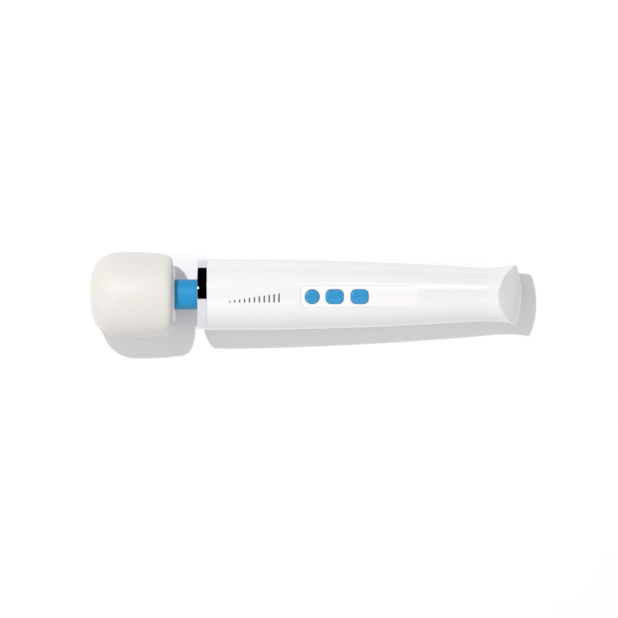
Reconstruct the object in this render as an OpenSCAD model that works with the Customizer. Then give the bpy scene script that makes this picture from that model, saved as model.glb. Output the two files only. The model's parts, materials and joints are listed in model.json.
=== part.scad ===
// Cordless handheld wand massager: a cushioned vibrating head on a flexible neck and a
// two-shell handle that holds the motor, the battery and the control board.
//
// The wand lies along X with its head at -X. Stations are distances in mm from the tip of
// the head. Heights are measured from the wand's axis. The origin is under the middle of
// the wand, level with the lowest point of the head.

/* [Overall] */
// Length from the tip of the head to the end of the nose
overall_l = 250; // [249:0.5:252]
// Wall thickness of the handle shells
wall = 2.6; // [2.4:0.1:2.8]

/* [Head] */
// Largest diameter of the head cushion
head_d = 49.1; // [48:0.1:52]
// Length of the head cushion
head_l = 47.7; // [47.5:0.1:47.9]
// Radius of the domed front face of the cushion
head_dome_r = 70; // [60:1:90]
// Radius of the rounded shoulder around the front face
head_shoulder_r = 16; // [14:0.5:17]
// Radius of the gently bulging side of the cushion
head_side_r = 185; // [170:5:300]
// Radius of the rounded back edge of the cushion
head_back_r = 5; // [3:0.5:5.5]
// Diameter of the hard cap that closes the back of the head
cap_d = 31; // [30.8:0.1:31.2]
// How far the cap stands out behind the cushion
cap_out = 1.4; // [1.3:0.1:1.6]

/* [Neck] */
// Diameter of the flexible neck sleeve
neck_d = 17.4; // [17.2:0.1:17.9]
// Station where the chrome ring and the handle begin
ring_s = 62; // [61.8:0.1:62]

/* [Handle] */
// Diameter of the chrome ring
ring_d = 40.3; // [40.2:0.1:41]
// Station where the ring ends and the white shells begin
shell_s = 67.6; // [67.4:0.1:68.4]
// Largest diameter of the handle
handle_d = 41; // [40.8:0.1:41.4]
// Radius of the long convex arc along the handle
handle_arc_r = 2250; // [2100:50:2400]
// Station of the narrowest place
waist_s = 228; // [227:0.5:229]
// Radius of the concave arc that flares towards the nose
flare_arc_r = 90.6; // [88:0.2:94]

/* [Nose] */
// Plan radius of the nose surface
nose_plan_r = 46.5; // [45:0.5:50]
// Slope of the nose surface at the crease on the middle plane
nose_slope = 0.41; // [0.38:0.01:0.44]
// Growth of that slope away from the crease, per mm
nose_curve = 0.0365; // [0.03:0.0005:0.039]

/* [Controls] */
// Length of the control panel
panel_l = 66.4; // [66:0.1:67]
// Width of the control panel
panel_w = 12.5; // [12.4:0.1:13.2]
// Station of the middle of the panel
panel_s = 154.2; // [154:0.1:154.6]
// Depth of the panel below the surface of the handle
panel_sink = 0.4; // [0.2:0.1:0.5]
// Diameter of the round power button
power_d = 8.1; // [8:0.1:8.4]
// Length of each square button
key_l = 10.2; // [10:0.1:10.6]
// Width of each square button
key_w = 8.3; // [8:0.1:8.4]
// Travel of a button
key_travel = 0.5; // [0.4:0.1:0.5]

/* [Charging socket] */
// Radius of the socket's hole for a 3.5 mm charging pin
socket_bore_r = 1.8; // [1.8:0.05:2]
// Depth of that hole
socket_bore_l = 12; // [10:1:12]
// Height of the socket on the lower nose surface
socket_z = -8; // [-8.5:0.5:-7.5]

/* [Hidden] */
$fn = 96;

ivory = [0.93, 0.92, 0.88];
white = [0.96, 0.96, 0.96];
blue = [0.24, 0.61, 0.86];
steel = [0.72, 0.73, 0.75];
chrome = [0.85, 0.86, 0.88];
copper = [0.80, 0.45, 0.25];
black_rubber = [0.12, 0.12, 0.13];
board_green = [0.10, 0.38, 0.22];
lead_red = [0.70, 0.10, 0.10];
bronze = [0.75, 0.60, 0.35];

axis_h = head_d / 2;
gap = 0.1; // between neighbours that don't touch
far = 60; // longer than any part is wide

// Head stations
shell_front = 6;
head_wall = 1.8;
head_shell_r = 19.4;
head_shell_back = head_l - 1.6;
cap_back = head_l + cap_out;
cap_seat = 39.6;
bearing_r = 5.5;
bearing_l = 4;
front_bearing_s = 10;
rear_bearing_s = 40;
cone_r = 3.2;
ball_track_r = 3.85;
ball_r = 0.8;
ball_count = 7;
track_r = 0.82; // the groove is this little larger than the ball
shaft_r = 2;
head_screw_circle = 12.6;
head_screw_count = 3;
head_screw_s = 28.5;
weight_s0 = front_bearing_s + bearing_l + 1;
weight_s1 = rear_bearing_s - 1.5;
weight_r = 10;

// Centres of the arcs of the cushion's outline, as [radius, station]
side_c = [axis_h - head_side_r, head_l / 2];
dome_c = [0, head_dome_r];
shoulder_c = meet(dome_c, head_dome_r - head_shoulder_r, side_c, head_side_r - head_shoulder_r);
back_c = [
    side_c[0] + sqrt(pow(head_side_r - head_back_r, 2) - pow(head_l / 2 - head_back_r, 2)),
    head_l - head_back_r
];

// Neck stations
sleeve_s0 = cap_back - 4.4;
sleeve_s1 = 72;
coil_r = 2.76;
coil_wire_r = 0.66;

// Handle stations
body_r = handle_d / 2;
body_crown_s = 75;
// Where the convex arc and the flare meet with the same slope
join_s = (waist_s / flare_arc_r + body_crown_s / handle_arc_r)
    / (1 / flare_arc_r + 1 / handle_arc_r);
waist_r = crown_r(join_s) - pow(join_s - waist_s, 2) / (2 * flare_arc_r);
nose_s = overall_l - nose_plan_r;
spigot_r = 17.95;
spigot_s = 64;
spigot_bore_r = 16;
rib_bore_r = 14.4;

// Motor stations
motor_s = 80;
motor_l = 32;
motor_end = motor_s + motor_l;
motor_r = 12.2;
motor_wall = 1;
motor_shaft_r = 1.5;
bush_r = 3;
bush_clear = 0.03;
coupling_s = 70.5;

// Handle internals
board_s0 = 122;
board_s1 = 190;
board_w = 20;
board_z = 8.6;
board_t = 1.6;
board_top = board_z + board_t;
battery_s = 126;
battery_l = 50;
battery_r = 9;
battery_z = -4.8;
battery_end = battery_s + battery_l;
holder_t = 1.15;
lead_r = 0.55;
board_under = board_z - lead_r; // where a lead runs along the underside of the board
switch_h = 3.5;
switch_floor = board_top + 1.2; // the bottom of the hole in a switch
plunger_r = 1.6;
plunger_z = switch_floor + 0.1 + key_travel;
power_s = 127.6;
minus_s = 140.4;
plus_s = 154.7;
lens_stations = [169.5, 174.5, 179.5];
lens_r = 0.9;
corner_r = 3;
key_gap = 0.2;
skirt_t = 0.8;
skirt_out = 0.7;
shell_screw_places = [[118.5, 12.5], [200, 9]];
board_screw_places = [[125, 8.2], [187, 8.2]];
socket_s = overall_l - nose_drop(socket_z);
socket_tilt = atan(nose_slope + 2 * nose_curve * abs(socket_z));
socket_r = 4.2;
socket_l = 15;

// Radius of the handle along the long arc, the flare and the whole outline
function crown_r(s) = body_r - pow(s - body_crown_s, 2) / (2 * handle_arc_r);
function flare_r(s) = waist_r + pow(s - waist_s, 2) / (2 * flare_arc_r);
function handle_r(s) = s < join_s ? crown_r(s) : flare_r(s);

// Height of the top of a button's skirt, just inside the shell
function skirt_top(s) = sqrt(pow(crown_r(s + 6) - wall, 2) - pow(key_w / 2 + skirt_out, 2)) - gap;

// How far the nose surface falls back from its tip at height z
function nose_drop(z) = nose_slope * abs(z) + nose_curve * z * z;

function arc(c, r, a0, a1, n = 12) =
    [for (i = [0:n]) let (a = a0 + (a1 - a0) * i / n) c + r * [cos(a), sin(a)]];
function angle_of(v) = atan2(v[1], v[0]);

// The point at distance ra from a and rb from b that lies further from the axis
function meet(a, ra, b, rb) = let (
    d = norm(b - a),
    along = (d * d + ra * ra - rb * rb) / (2 * d),
    up = sqrt(ra * ra - along * along),
    u = (b - a) / d,
    p = a + along * u + up * [-u[1], u[0]],
    q = a + along * u - up * [-u[1], u[0]]
) p[0] > q[0] ? p : q;

// Places children at a station on the wand's axis, with their +Z along the wand
module on_axis(s = 0) translate([s - overall_l / 2, 0, axis_h]) rotate([0, 90, 0]) children();

// Places children at a station, a side offset and a height, without turning them
module at(s, y = 0, z = 0) translate([s - overall_l / 2, y, axis_h + z]) children();

// A solid of revolution about the wand's axis from [radius, station] points
module spun(points) on_axis() rotate_extrude() polygon(points);
module disc(s0, s1, r) on_axis(s0) cylinder(r = r, h = s1 - s0);
module tube(s0, s1, ro, ri) difference() {
    disc(s0, s1, ro);
    disc(s0 - 1, s1 + 1, ri);
}

// A box given by its stations, its width across and its heights
module slab(s0, s1, w, z0, z1) at(s0, -w / 2, z0) cube([s1 - s0, w, z1 - z0]);

module rounded_rect(l, w, r) {
    square([l - 2 * r, w], center = true);
    square([l, w - 2 * r], center = true);
    for (i = [-1, 1], j = [-1, 1]) translate([i * (l / 2 - r), j * (w / 2 - r)]) circle(r);
}
module upright_key(s, l, w, r, z0 = 0, z1 = 30) at(s, 0, z0)
    linear_extrude(z1 - z0) rounded_rect(l, w, r);

// The handle's outer form, drawn in by d, between two stations
module inset_body(d, s0 = shell_s, s1 = overall_l + 5, n = 48) spun(concat(
    [[0, s0]],
    [for (i = [0:n]) let (s = s0 + (s1 - s0) * i / n) [handle_r(s) - d, s]],
    [[0, s1]]
));

// Everything behind the nose surface, drawn in by d
module behind_nose(d) at(nose_s) rotate_extrude() polygon(concat(
    [[0, -far / 2]],
    [for (z = [-24:2:24]) [nose_plan_r - d - nose_drop(z), z]],
    [[0, far / 2]]
));
module handle_form(d, s0) {
    intersection() {
        inset_body(d, s0);
        union() {
            behind_nose(d);
            slab(s0, nose_s, far, -far / 2, far / 2);
        }
    }
}
module upper_half() slab(0, overall_l + 10, far, 0, far / 2);
module lower_half() slab(0, overall_l + 10, far, -far / 2, 0);

// A wire along the curve that four [station, side offset, height] points steer
function along_curve(p, t) = let (u = 1 - t)
    u * u * u * p[0] + 3 * u * u * t * p[1] + 3 * u * t * t * p[2] + t * t * t * p[3];
function curve_heading(p, t) = let (
    u = 1 - t,
    d = u * u * (p[1] - p[0]) + 2 * u * t * (p[2] - p[1]) + t * t * (p[3] - p[2])
) d / norm(d);
module wire(p, r, rings = 10, sides = 8) {
    points = [for (i = [0:rings], k = [0:sides - 1]) let (
        t = i / rings,
        d = curve_heading(p, t),
        across = cross(d, [0, 1, 0]) / norm(cross(d, [0, 1, 0])),
        up = cross(across, d),
        a = 360 * k / sides
    ) along_curve(p, t) + r * (cos(a) * across + sin(a) * up)];
    at(0) polyhedron(points, tube_faces(rings, sides), convexity = 6);
}

// Faces of a tube of rings, closed at both ends
function tube_faces(rings, sides) = concat(
    [for (i = [0:rings - 1], k = [0:sides - 1]) let (
        j = i * sides,
        n = (k + 1) % sides
    ) [j + n, j + sides + n, j + sides + k, j + k]],
    [[for (k = [sides - 1:-1:0]) k], [for (k = [0:sides - 1]) rings * sides + k]]
);

// A wire wound into a coil about the wand's axis
module coil(s0, s1, r, wire_r, turns, steps = 14, sides = 6) {
    rings = turns * steps;
    points = [for (i = [0:rings], k = [0:sides - 1]) let (
        a = 360 * i / steps,
        b = 360 * k / sides,
        q = r + wire_r * cos(b)
    ) [q * cos(a), q * sin(a), (s1 - s0) * i / rings + wire_r * sin(b)]];
    on_axis(s0) polyhedron(points, tube_faces(rings, sides), convexity = 10);
}

// ---------------------------------------------------------------- head

module cushion_outline(bore) polygon(concat(
    arc(dome_c, head_dome_r, -90, angle_of(shoulder_c - dome_c)),
    arc(shoulder_c, head_shoulder_r, angle_of(shoulder_c - dome_c), angle_of(shoulder_c - side_c)),
    arc(side_c, head_side_r, angle_of(shoulder_c - side_c), angle_of(back_c - side_c)),
    arc(back_c, head_back_r, angle_of(back_c - side_c), 90, 8),
    [[bore, head_l], [0, head_l]]
));
function shell_outline(d) = [
    [0, shell_front - d], [12, shell_front - d], [head_shell_r + d, 13 - d],
    [head_shell_r + d, head_shell_back + d], [0, head_shell_back + d]
];

module head_cushion() color(ivory) difference() {
    on_axis() rotate_extrude() cushion_outline(cap_d / 2);
    spun(shell_outline(gap));
    disc(head_shell_back, head_l + 1, cap_d / 2 + gap);
}

module head_screw_circle(s) on_axis(s) for (k = [0:head_screw_count - 1])
    rotate(180 + k * 360 / head_screw_count) translate([head_screw_circle, 0, 0]) children();

module head_shell() color(white) {
    difference() {
        union() {
            difference() {
                spun(shell_outline(0));
                spun([
                    [0, shell_front + head_wall], [11.4, shell_front + head_wall],
                    [head_shell_r - head_wall, 14], [head_shell_r - head_wall, 50], [0, 50]
                ]);
            }
            disc(shell_front + 1, front_bearing_s + bearing_l, bearing_r + 1.6);
            intersection() {
                head_screw_circle(24) union() {
                    cylinder(r = 2.3, h = cap_seat - 24);
                    translate([0, -2.3, 0]) cube([6, 4.6, cap_seat - 24]);
                }
                disc(20, 50, head_shell_r - 0.5);
            }
        }
        disc(front_bearing_s, 30, bearing_r);
        disc(front_bearing_s - 2, 30, cone_r + 0.4);
        head_screw_circle(28) cylinder(r = 0.8, h = 20);
    }
}

module head_cap() color(white) difference() {
    union() {
        disc(cap_seat, head_shell_back, head_shell_r - head_wall - gap / 2);
        spun([
            [0, head_shell_back - 1], [cap_d / 2, head_shell_back - 1], [cap_d / 2, cap_back - 0.8],
            [cap_d / 2 - 0.8, cap_back - 0.2], [neck_d / 2 + 1.5, cap_back], [0, cap_back]
        ]);
    }
    disc(cap_seat - 1, rear_bearing_s + bearing_l, bearing_r);
    disc(cap_seat - 1, cap_back + 1, cone_r + 0.8);
    disc(sleeve_s0 - gap, cap_back + 1, neck_d / 2 + gap);
    head_screw_circle(cap_seat - 1) cylinder(r = 1.1, h = 20);
    head_screw_circle(cap_back - 2) cylinder(r = 2, h = 5);
}

module head_screws() color(steel) head_screw_circle(head_screw_s) {
    cylinder(r = 0.8, h = cap_seat - head_screw_s);
    translate([0, 0, cap_seat - head_screw_s]) cylinder(r = 1, h = cap_back - 2 - cap_seat);
    difference() {
        translate([0, 0, cap_back - 2 - head_screw_s]) cylinder(r = 1.85, h = 1.3);
        translate([0, 0, cap_back - 1.3 - head_screw_s]) cylinder(r = 0.8, h = 2, $fn = 6);
    }
}

// A ball bearing in three pieces: the race in its seat, the balls and the cone on the shaft
module ball_track(s) on_axis(s + bearing_l / 2) rotate_extrude()
    translate([ball_track_r, 0]) circle(track_r, $fn = 48);
module bearing_race(s) color(steel) difference() {
    tube(s, s + bearing_l, bearing_r, ball_track_r + 0.25);
    ball_track(s);
}
module bearing_cone(s) color(steel) difference() {
    tube(s, s + bearing_l, cone_r + 0.3, shaft_r);
    ball_track(s);
}
module bearing_balls(s) color(chrome) on_axis(s + bearing_l / 2)
    for (k = [0:ball_count - 1]) rotate(k * 360 / ball_count)
        translate([ball_track_r, 0, 0]) sphere(ball_r, $fn = 32);

module front_bearing_race() bearing_race(front_bearing_s);
module front_bearing_balls() bearing_balls(front_bearing_s);
module front_bearing_cone() bearing_cone(front_bearing_s);
module rear_bearing_race() bearing_race(rear_bearing_s);
module rear_bearing_balls() bearing_balls(rear_bearing_s);
module rear_bearing_cone() bearing_cone(rear_bearing_s);

module eccentric_shaft() color(steel) disc(front_bearing_s - 1, cap_back + 1, shaft_r);

module eccentric_weight() color(steel) difference() {
    union() {
        intersection() {
            disc(weight_s0 + 1, weight_s1 - 1, weight_r);
            slab(weight_s0, weight_s1, far, -far / 2, 0);
        }
        disc(weight_s0, weight_s1, 3.6);
    }
    disc(weight_s0 - 1, weight_s1 + 1, shaft_r);
    for (s = [weight_s0 + 6, weight_s1 - 6]) at(s, 0, 0) cylinder(r = 1, h = 6);
}

// ---------------------------------------------------------------- neck

module neck_sleeve() color(blue) tube(sleeve_s0, sleeve_s1 - gap, neck_d / 2, 6.3);
module neck_spring() color(steel) coil(sleeve_s0 + 0.8, sleeve_s1 - 1.2, 5.3, 0.6, 9);
module flexible_shaft() color(steel)
    coil(cap_back - 2.4, coupling_s - 1.4, coil_r, coil_wire_r, 10);

module neck_collar() color(white) difference() {
    union() {
        disc(spigot_s - 0.3, sleeve_s1, spigot_bore_r - gap / 2);
        disc(sleeve_s1 - 1, 76, rib_bore_r - gap);
        disc(shell_s + 0.8, sleeve_s1, body_r - wall - 0.2);
    }
    disc(0, sleeve_s1, neck_d / 2 + gap);
    disc(0, 80, 6.4);
}

// ---------------------------------------------------------------- handle

module chrome_ring() color(chrome) spun(concat(
    [[neck_d / 2 + 0.4, ring_s]],
    arc([ring_d / 2 - 0.6, ring_s + 0.6], 0.6, -90, 0, 6),
    [
        [ring_d / 2, shell_s - 0.05], [spigot_r + 0.05, shell_s - 0.05],
        [spigot_r + 0.05, ring_s + 1.5], [neck_d / 2 + 0.4, ring_s + 1.5]
    ]
));

// Rings inside the shells that hold the neck collar and the motor's rubber mounts
module shell_ribs() difference() {
    intersection() {
        inset_body(wall - 0.2);
        for (s = [72.1, 80.4, 86.1, 101.4, 107.1]) slab(s, s + 1.5, far, -far / 2, far / 2);
    }
    disc(60, 120, rib_bore_r);
}
module handle_walls() {
    difference() {
        union() {
            handle_form(0, shell_s);
            disc(spigot_s, shell_s + 1, spigot_r);
        }
        handle_form(wall, shell_s - 0.01);
        disc(spigot_s - 1, shell_s + 1, spigot_bore_r);
    }
    shell_ribs();
}

// The openings for the buttons, through the upper shell and the panel
module key_holes() {
    at(power_s) cylinder(r = power_d / 2 + key_gap, h = 30);
    for (s = [minus_s, plus_s])
        upright_key(s, key_l + 2 * key_gap, key_w + 2 * key_gap, corner_r + key_gap);
}

module upper_shell() color(white) difference() {
    union() {
        intersection() {
            handle_walls();
            upper_half();
        }
        intersection() {
            inset_body(wall - 0.3);
            union() {
                for (p = shell_screw_places, j = [-1, 1]) at(p[0], j * p[1], 0)
                    cylinder(r = 2.6, h = 20);
                for (p = board_screw_places, j = [-1, 1]) at(p[0], j * p[1], board_top)
                    cylinder(r = 1.5, h = 10);
            }
        }
    }
    for (p = shell_screw_places, j = [-1, 1]) at(p[0], j * p[1], -1) cylinder(r = 1, h = 9);
    for (p = board_screw_places, j = [-1, 1]) at(p[0], j * p[1], 5) cylinder(r = 0.7, h = 7);
    difference() {
        upright_key(panel_s, panel_l, panel_w, corner_r);
        inset_body(panel_sink + 1.2, 100, 220);
    }
    key_holes();
    for (s = lens_stations) at(s) cylinder(r = lens_r + gap, h = 30);
}

// Points a child's +Z out of the nose along the charging socket
module at_socket(depth = 0) at(socket_s, 0, socket_z) rotate([0, 90 + socket_tilt, 0])
    translate([0, 0, -depth]) children();

module lower_shell() color(white) difference() {
    union() {
        intersection() {
            handle_walls();
            lower_half();
        }
        intersection() {
            inset_body(wall - 0.3);
            for (p = shell_screw_places, j = [-1, 1]) at(p[0], j * p[1], -20)
                cylinder(r = 3.4, h = 20);
        }
        difference() {
            intersection() {
                inset_body(wall - 0.2);
                for (s = [135, 165]) slab(s, s + 2, 18, -20, battery_z - 2);
            }
            at(100, 0, battery_z) rotate([0, 90, 0]) cylinder(r = battery_r + holder_t + 0.1, h = 100);
        }
    }
    for (p = shell_screw_places, j = [-1, 1]) at(p[0], j * p[1], -20) {
        cylinder(r = 2.3, h = 13);
        cylinder(r = 1.3, h = 21);
    }
    at_socket(8) cylinder(r = socket_r + 0.05, h = 20);
}

module shell_screws() color(steel) for (p = shell_screw_places, j = [-1, 1]) at(p[0], j * p[1], -7) {
    cylinder(r = 1, h = 14);
    difference() {
        translate([0, 0, -1.6]) cylinder(r = 2.1, h = 1.6);
        translate([0, 0, -2]) cylinder(r = 0.9, h = 1.2, $fn = 6);
    }
}

// ---------------------------------------------------------------- motor

module motor_can() color(steel) difference() {
    union() {
        disc(motor_s, motor_end - 2, motor_r);
        disc(motor_s - 1.6, motor_s + 1, bush_r + 1.4);
    }
    disc(motor_s + 1.2, motor_end, motor_r - motor_wall);
    disc(motor_s - 3, motor_end, bush_r);
}
module motor_magnets() color([0.25, 0.25, 0.27]) difference() {
    tube(motor_s + 4, motor_s + 23, motor_r - motor_wall, 9.4);
    slab(motor_s, motor_end, far, -5, 5);
}
module motor_end_bell() color(black_rubber) difference() {
    union() {
        disc(motor_end - 4.6, motor_end - 2, motor_r - motor_wall - 0.02);
        disc(motor_end - 2, motor_end, motor_r);
        for (j = [-1, 1]) slab(motor_end, motor_end + 0.8, 3, j * 6 - 1, j * 6 + 1);
    }
    disc(motor_s, motor_end + 2, bush_r);
}
module motor_brushes() color(copper) for (j = [-1, 1]) at(motor_end - 7.5, j * 4.9 - 1.5, -1.2)
    cube([2.9, 3, 2.4]);
module bush(s, l) color(bronze) tube(s, s + l, bush_r, motor_shaft_r + bush_clear);
module motor_front_bush() bush(motor_s - 1.6, 4);
module motor_rear_bush() bush(motor_end - 4.4, 4);
module motor_isolators() color(black_rubber) for (s = [82, 103])
    tube(s, s + 4, crown_r(s + 4) - wall - gap, motor_r + 0.02);

module motor_shaft() color(steel) disc(coupling_s + 2, motor_end + 1, motor_shaft_r);
module motor_armature() color([0.55, 0.55, 0.58]) difference() {
    disc(motor_s + 6, motor_s + 21, 9);
    disc(motor_s, motor_end, motor_shaft_r);
    for (k = [0:2]) on_axis(motor_s) rotate(k * 120) translate([3.4, -0.8, 0]) cube([7, 1.6, 30]);
    for (k = [0:2]) on_axis(motor_s) rotate(k * 120) translate([5.6, 0, 0]) cylinder(r = 1.9, h = 30);
}
module motor_windings() color(copper) {
    tube(motor_s + 4.3, motor_s + 6, 8.3, 3.4);
    tube(motor_s + 21, motor_s + 22.6, 8.3, 3.4);
}
module motor_commutator() color(copper) difference() {
    tube(motor_s + 22.6, motor_end - 4.7, 3.3, motor_shaft_r);
    for (k = [0:2]) on_axis(motor_s) rotate(60 + k * 120) translate([2.2, -0.15, 0]) cube([4, 0.3, 40]);
}
module shaft_coupling() color(bronze) difference() {
    union() {
        disc(coupling_s - 5, coupling_s, coil_r - coil_wire_r - 0.05);
        disc(coupling_s, motor_s - 2, 4);
    }
    disc(coupling_s + 2, motor_s, motor_shaft_r);
}

// ---------------------------------------------------------------- controls

module panel_band(top, bottom) difference() {
    inset_body(top, 100, 220);
    inset_body(bottom, 99, 221);
}
module control_panel() color(white) difference() {
    intersection() {
        upright_key(panel_s, panel_l - 0.2, panel_w - 0.2, corner_r - 0.1);
        panel_band(panel_sink, panel_sink + 1.15);
    }
    key_holes();
    for (s = lens_stations) at(s) cylinder(r = lens_r + gap / 2, h = 30);
}
module indicator_lenses() color([0.9, 0.92, 0.95]) intersection() {
    for (s = lens_stations) at(s) cylinder(r = lens_r, h = 30);
    panel_band(panel_sink - 0.05, wall + 0.6);
}

// A button cap stands a little proud of the panel and has a skirt under the shell
module button_cap(s, l, w, r) color(blue) intersection() {
    union() {
        upright_key(s, l, w, r, skirt_top(s) - skirt_t);
        upright_key(s, l + 2 * skirt_out, w + 2 * skirt_out, r, skirt_top(s) - skirt_t, skirt_top(s));
    }
    inset_body(panel_sink - 0.6, 100, 220);
}
module plunger(s) color(white) at(s, 0, plunger_z)
    cylinder(r = plunger_r, h = skirt_top(s) - skirt_t - plunger_z);

module power_button() button_cap(power_s, power_d, power_d, power_d / 2 - 0.01);
module power_plunger() plunger(power_s);
module minus_button() button_cap(minus_s, key_l, key_w, corner_r);
module minus_plunger() plunger(minus_s);
module plus_button() button_cap(plus_s, key_l, key_w, corner_r);
module plus_plunger() plunger(plus_s);

// ---------------------------------------------------------------- electronics

module circuit_board() color(board_green) difference() {
    slab(board_s0, board_s1, board_w, board_z, board_top);
    for (p = board_screw_places, j = [-1, 1]) at(p[0], j * p[1], 0) cylinder(r = 0.8, h = 20);
}
module board_screws() color(steel) for (p = board_screw_places, j = [-1, 1])
    at(p[0], j * p[1], board_z) {
        cylinder(r = 0.7, h = 3.2);
        translate([0, 0, -1]) cylinder(r = 1.4, h = 1);
    }
module board_parts() color(black_rubber) {
    slab(138, 145, 7, board_z - 1.2, board_z);
    slab(150, 156, 4, board_z - 1.5, board_z);
    slab(183, 186, 9, board_top, board_top + 2.2);
    for (s = [161, 164]) at(s, 5, board_z - 1) cylinder(r = 1.2, h = 1);
}
module tact_switches() color(black_rubber) for (s = [power_s, minus_s, plus_s]) difference() {
    slab(s - 3, s + 3, 6, board_top, board_top + switch_h);
    at(s, 0, switch_floor) cylinder(r = plunger_r + 0.08, h = 10);
}
module indicator_leds() color([0.95, 0.95, 0.8]) for (s = lens_stations)
    slab(s - 0.8, s + 0.8, 1.2, board_top, board_top + 0.8);

module battery_cell() color([0.2, 0.45, 0.75]) at(battery_s, 0, battery_z) rotate([0, 90, 0]) {
    cylinder(r = battery_r, h = battery_l - 1);
    cylinder(r = 3, h = battery_l);
}
module battery_holder() color(white) at(battery_s - 2, 0, battery_z) difference() {
    rotate([0, 90, 0]) cylinder(r = battery_r + holder_t, h = battery_l + 4);
    translate([1.2, 0, 0]) rotate([0, 90, 0]) cylinder(r = battery_r + 0.05, h = battery_l + 1.6);
    translate([-1, -far / 2, 2]) cube([far + 10, far, far]);
}
module battery_strap() color(black_rubber) at(battery_s + 20, 0, battery_z) difference() {
    rotate([0, 90, 0]) cylinder(r = battery_r + 0.7, h = 8);
    translate([-1, 0, 0]) rotate([0, 90, 0]) cylinder(r = battery_r + 0.05, h = 20);
    translate([-1, -far / 2, -far + 2]) cube([far, far, far]);
}
module battery_contacts() color(steel) {
    slab(battery_s - 0.7, battery_s - 0.1, 7, battery_z - 3.5, battery_z + 5);
    slab(battery_end + 0.1, battery_end + 0.7, 7, battery_z - 3.5, battery_z + 5);
}

module charging_socket() color(black_rubber) at_socket(socket_l + 0.6) difference() {
    cylinder(r = socket_r, h = socket_l);
    translate([0, 0, socket_l - socket_bore_l]) cylinder(r = socket_bore_r, h = socket_bore_l + 1);
}

module motor_leads() color(lead_red) for (j = [-1, 1]) wire([
    [motor_end + 1.4, j, 6], [117, j * 3, 6], [118, j * 5, board_under], [124, j * 5, board_under]
], lead_r);
module battery_leads() color(lead_red) for (s = [battery_s - 1.3, battery_end + 1.3])
    wire([[s, 2, -0.5], [s, 2, 2], [s, 2, 5], [s, 2, board_z]], lead_r, 4);
module socket_leads() color(black_rubber) for (j = [-1, 1]) wire([
    [231, j * 1.6, 5.2], [215, j * 2, 9], [205, j * 2, board_under], [188, j * 2, board_under]
], lead_r, 14);

head_cushion();
head_shell();
head_cap();
head_screws();
front_bearing_race();
front_bearing_balls();
front_bearing_cone();
rear_bearing_race();
rear_bearing_balls();
rear_bearing_cone();
eccentric_shaft();
eccentric_weight();
neck_sleeve();
neck_spring();
flexible_shaft();
neck_collar();
chrome_ring();
upper_shell();
lower_shell();
shell_screws();
motor_can();
motor_magnets();
motor_end_bell();
motor_brushes();
motor_front_bush();
motor_rear_bush();
motor_isolators();
motor_shaft();
motor_armature();
motor_windings();
motor_commutator();
shaft_coupling();
control_panel();
indicator_lenses();
power_button();
power_plunger();
minus_button();
minus_plunger();
plus_button();
plus_plunger();
circuit_board();
board_screws();
board_parts();
tact_switches();
indicator_leds();
battery_cell();
battery_holder();
battery_strap();
battery_contacts();
charging_socket();
motor_leads();
battery_leads();
socket_leads();
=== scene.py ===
import json
from collections import namedtuple
from functools import partial
from math import asin, atan, atan2, ceil, copysign, cos, hypot, pi, radians, sin, sqrt, tan

import bmesh
import bpy
from mathutils import Matrix, Vector


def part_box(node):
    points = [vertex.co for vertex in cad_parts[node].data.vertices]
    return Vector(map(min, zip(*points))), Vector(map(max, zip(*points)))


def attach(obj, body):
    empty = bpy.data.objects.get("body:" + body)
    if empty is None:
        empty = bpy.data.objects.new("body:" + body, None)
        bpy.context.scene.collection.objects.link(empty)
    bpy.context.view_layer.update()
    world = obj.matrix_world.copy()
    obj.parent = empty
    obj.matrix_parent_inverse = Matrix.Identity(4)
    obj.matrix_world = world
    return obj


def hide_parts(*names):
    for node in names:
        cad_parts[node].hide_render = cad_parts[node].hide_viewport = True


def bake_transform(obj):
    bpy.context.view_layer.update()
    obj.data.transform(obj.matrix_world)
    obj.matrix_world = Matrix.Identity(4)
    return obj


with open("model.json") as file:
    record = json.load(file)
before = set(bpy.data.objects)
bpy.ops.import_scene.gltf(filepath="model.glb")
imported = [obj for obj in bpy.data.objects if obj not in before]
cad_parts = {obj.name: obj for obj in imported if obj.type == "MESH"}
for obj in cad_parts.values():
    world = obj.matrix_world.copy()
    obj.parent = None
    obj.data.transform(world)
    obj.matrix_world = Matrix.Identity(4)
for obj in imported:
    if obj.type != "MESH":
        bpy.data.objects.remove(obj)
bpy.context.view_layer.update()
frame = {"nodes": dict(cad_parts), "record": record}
scene = bpy.context.scene

# ---------------------------------------------------------------- places and sizes
#
# Lengths are millimetres. A place on the wand is (s, y, z): s runs from the tip of the head
# to the nose, y goes sideways and z is the height above the wand's axis.

MM = 0.001
head_low, head_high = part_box("head_cushion")
tip_x = head_low.x
axis_z = (head_low.z + head_high.z) / 2


def to_frame(place):
    """A place on the wand, in the frame's metres."""
    s, y, z = place
    return Vector((tip_x + s * MM, y * MM, axis_z + z * MM))


def from_frame(point):
    """The place on the wand of a point in the frame's metres."""
    return (point.x - tip_x) / MM, point.y / MM, (point.z - axis_z) / MM


def extent(node_name):
    """The lowest and the highest place that a CAD node reaches."""
    low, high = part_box(node_name)
    return from_frame(low), from_frame(high)


# Head
head_l = extent("head_cushion")[1][0]
head_r = extent("head_cushion")[1][2]
dome_r = 70
shoulder_r = 16
side_r = 185
back_r = 5
lip_l = 1.5
cap_back = extent("head_cap")[1][0]
cap_seat = extent("head_cap")[0][0]
cap_r = 15.5
cap_bore_r = 4.1
cap_body_r = extent("head_cap")[1][2]
head_inner_r = 19.5
head_inner_front = 5.9
head_inner_corner = (13, 12)  # where its front corner begins, and the radius where it ends
head_screw_circle = 12.6

# Neck
neck_r = extent("neck_sleeve")[1][2]
neck_bore_r = 6.3
sleeve_front = extent("neck_sleeve")[0][0]
neck_coils = {"neck_spring": (0.6, 9), "flexible_shaft": (0.66, 10)}  # wire radius, turns
pitch_bend = (62, 56)
yaw_bend = (56, 50)

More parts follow.
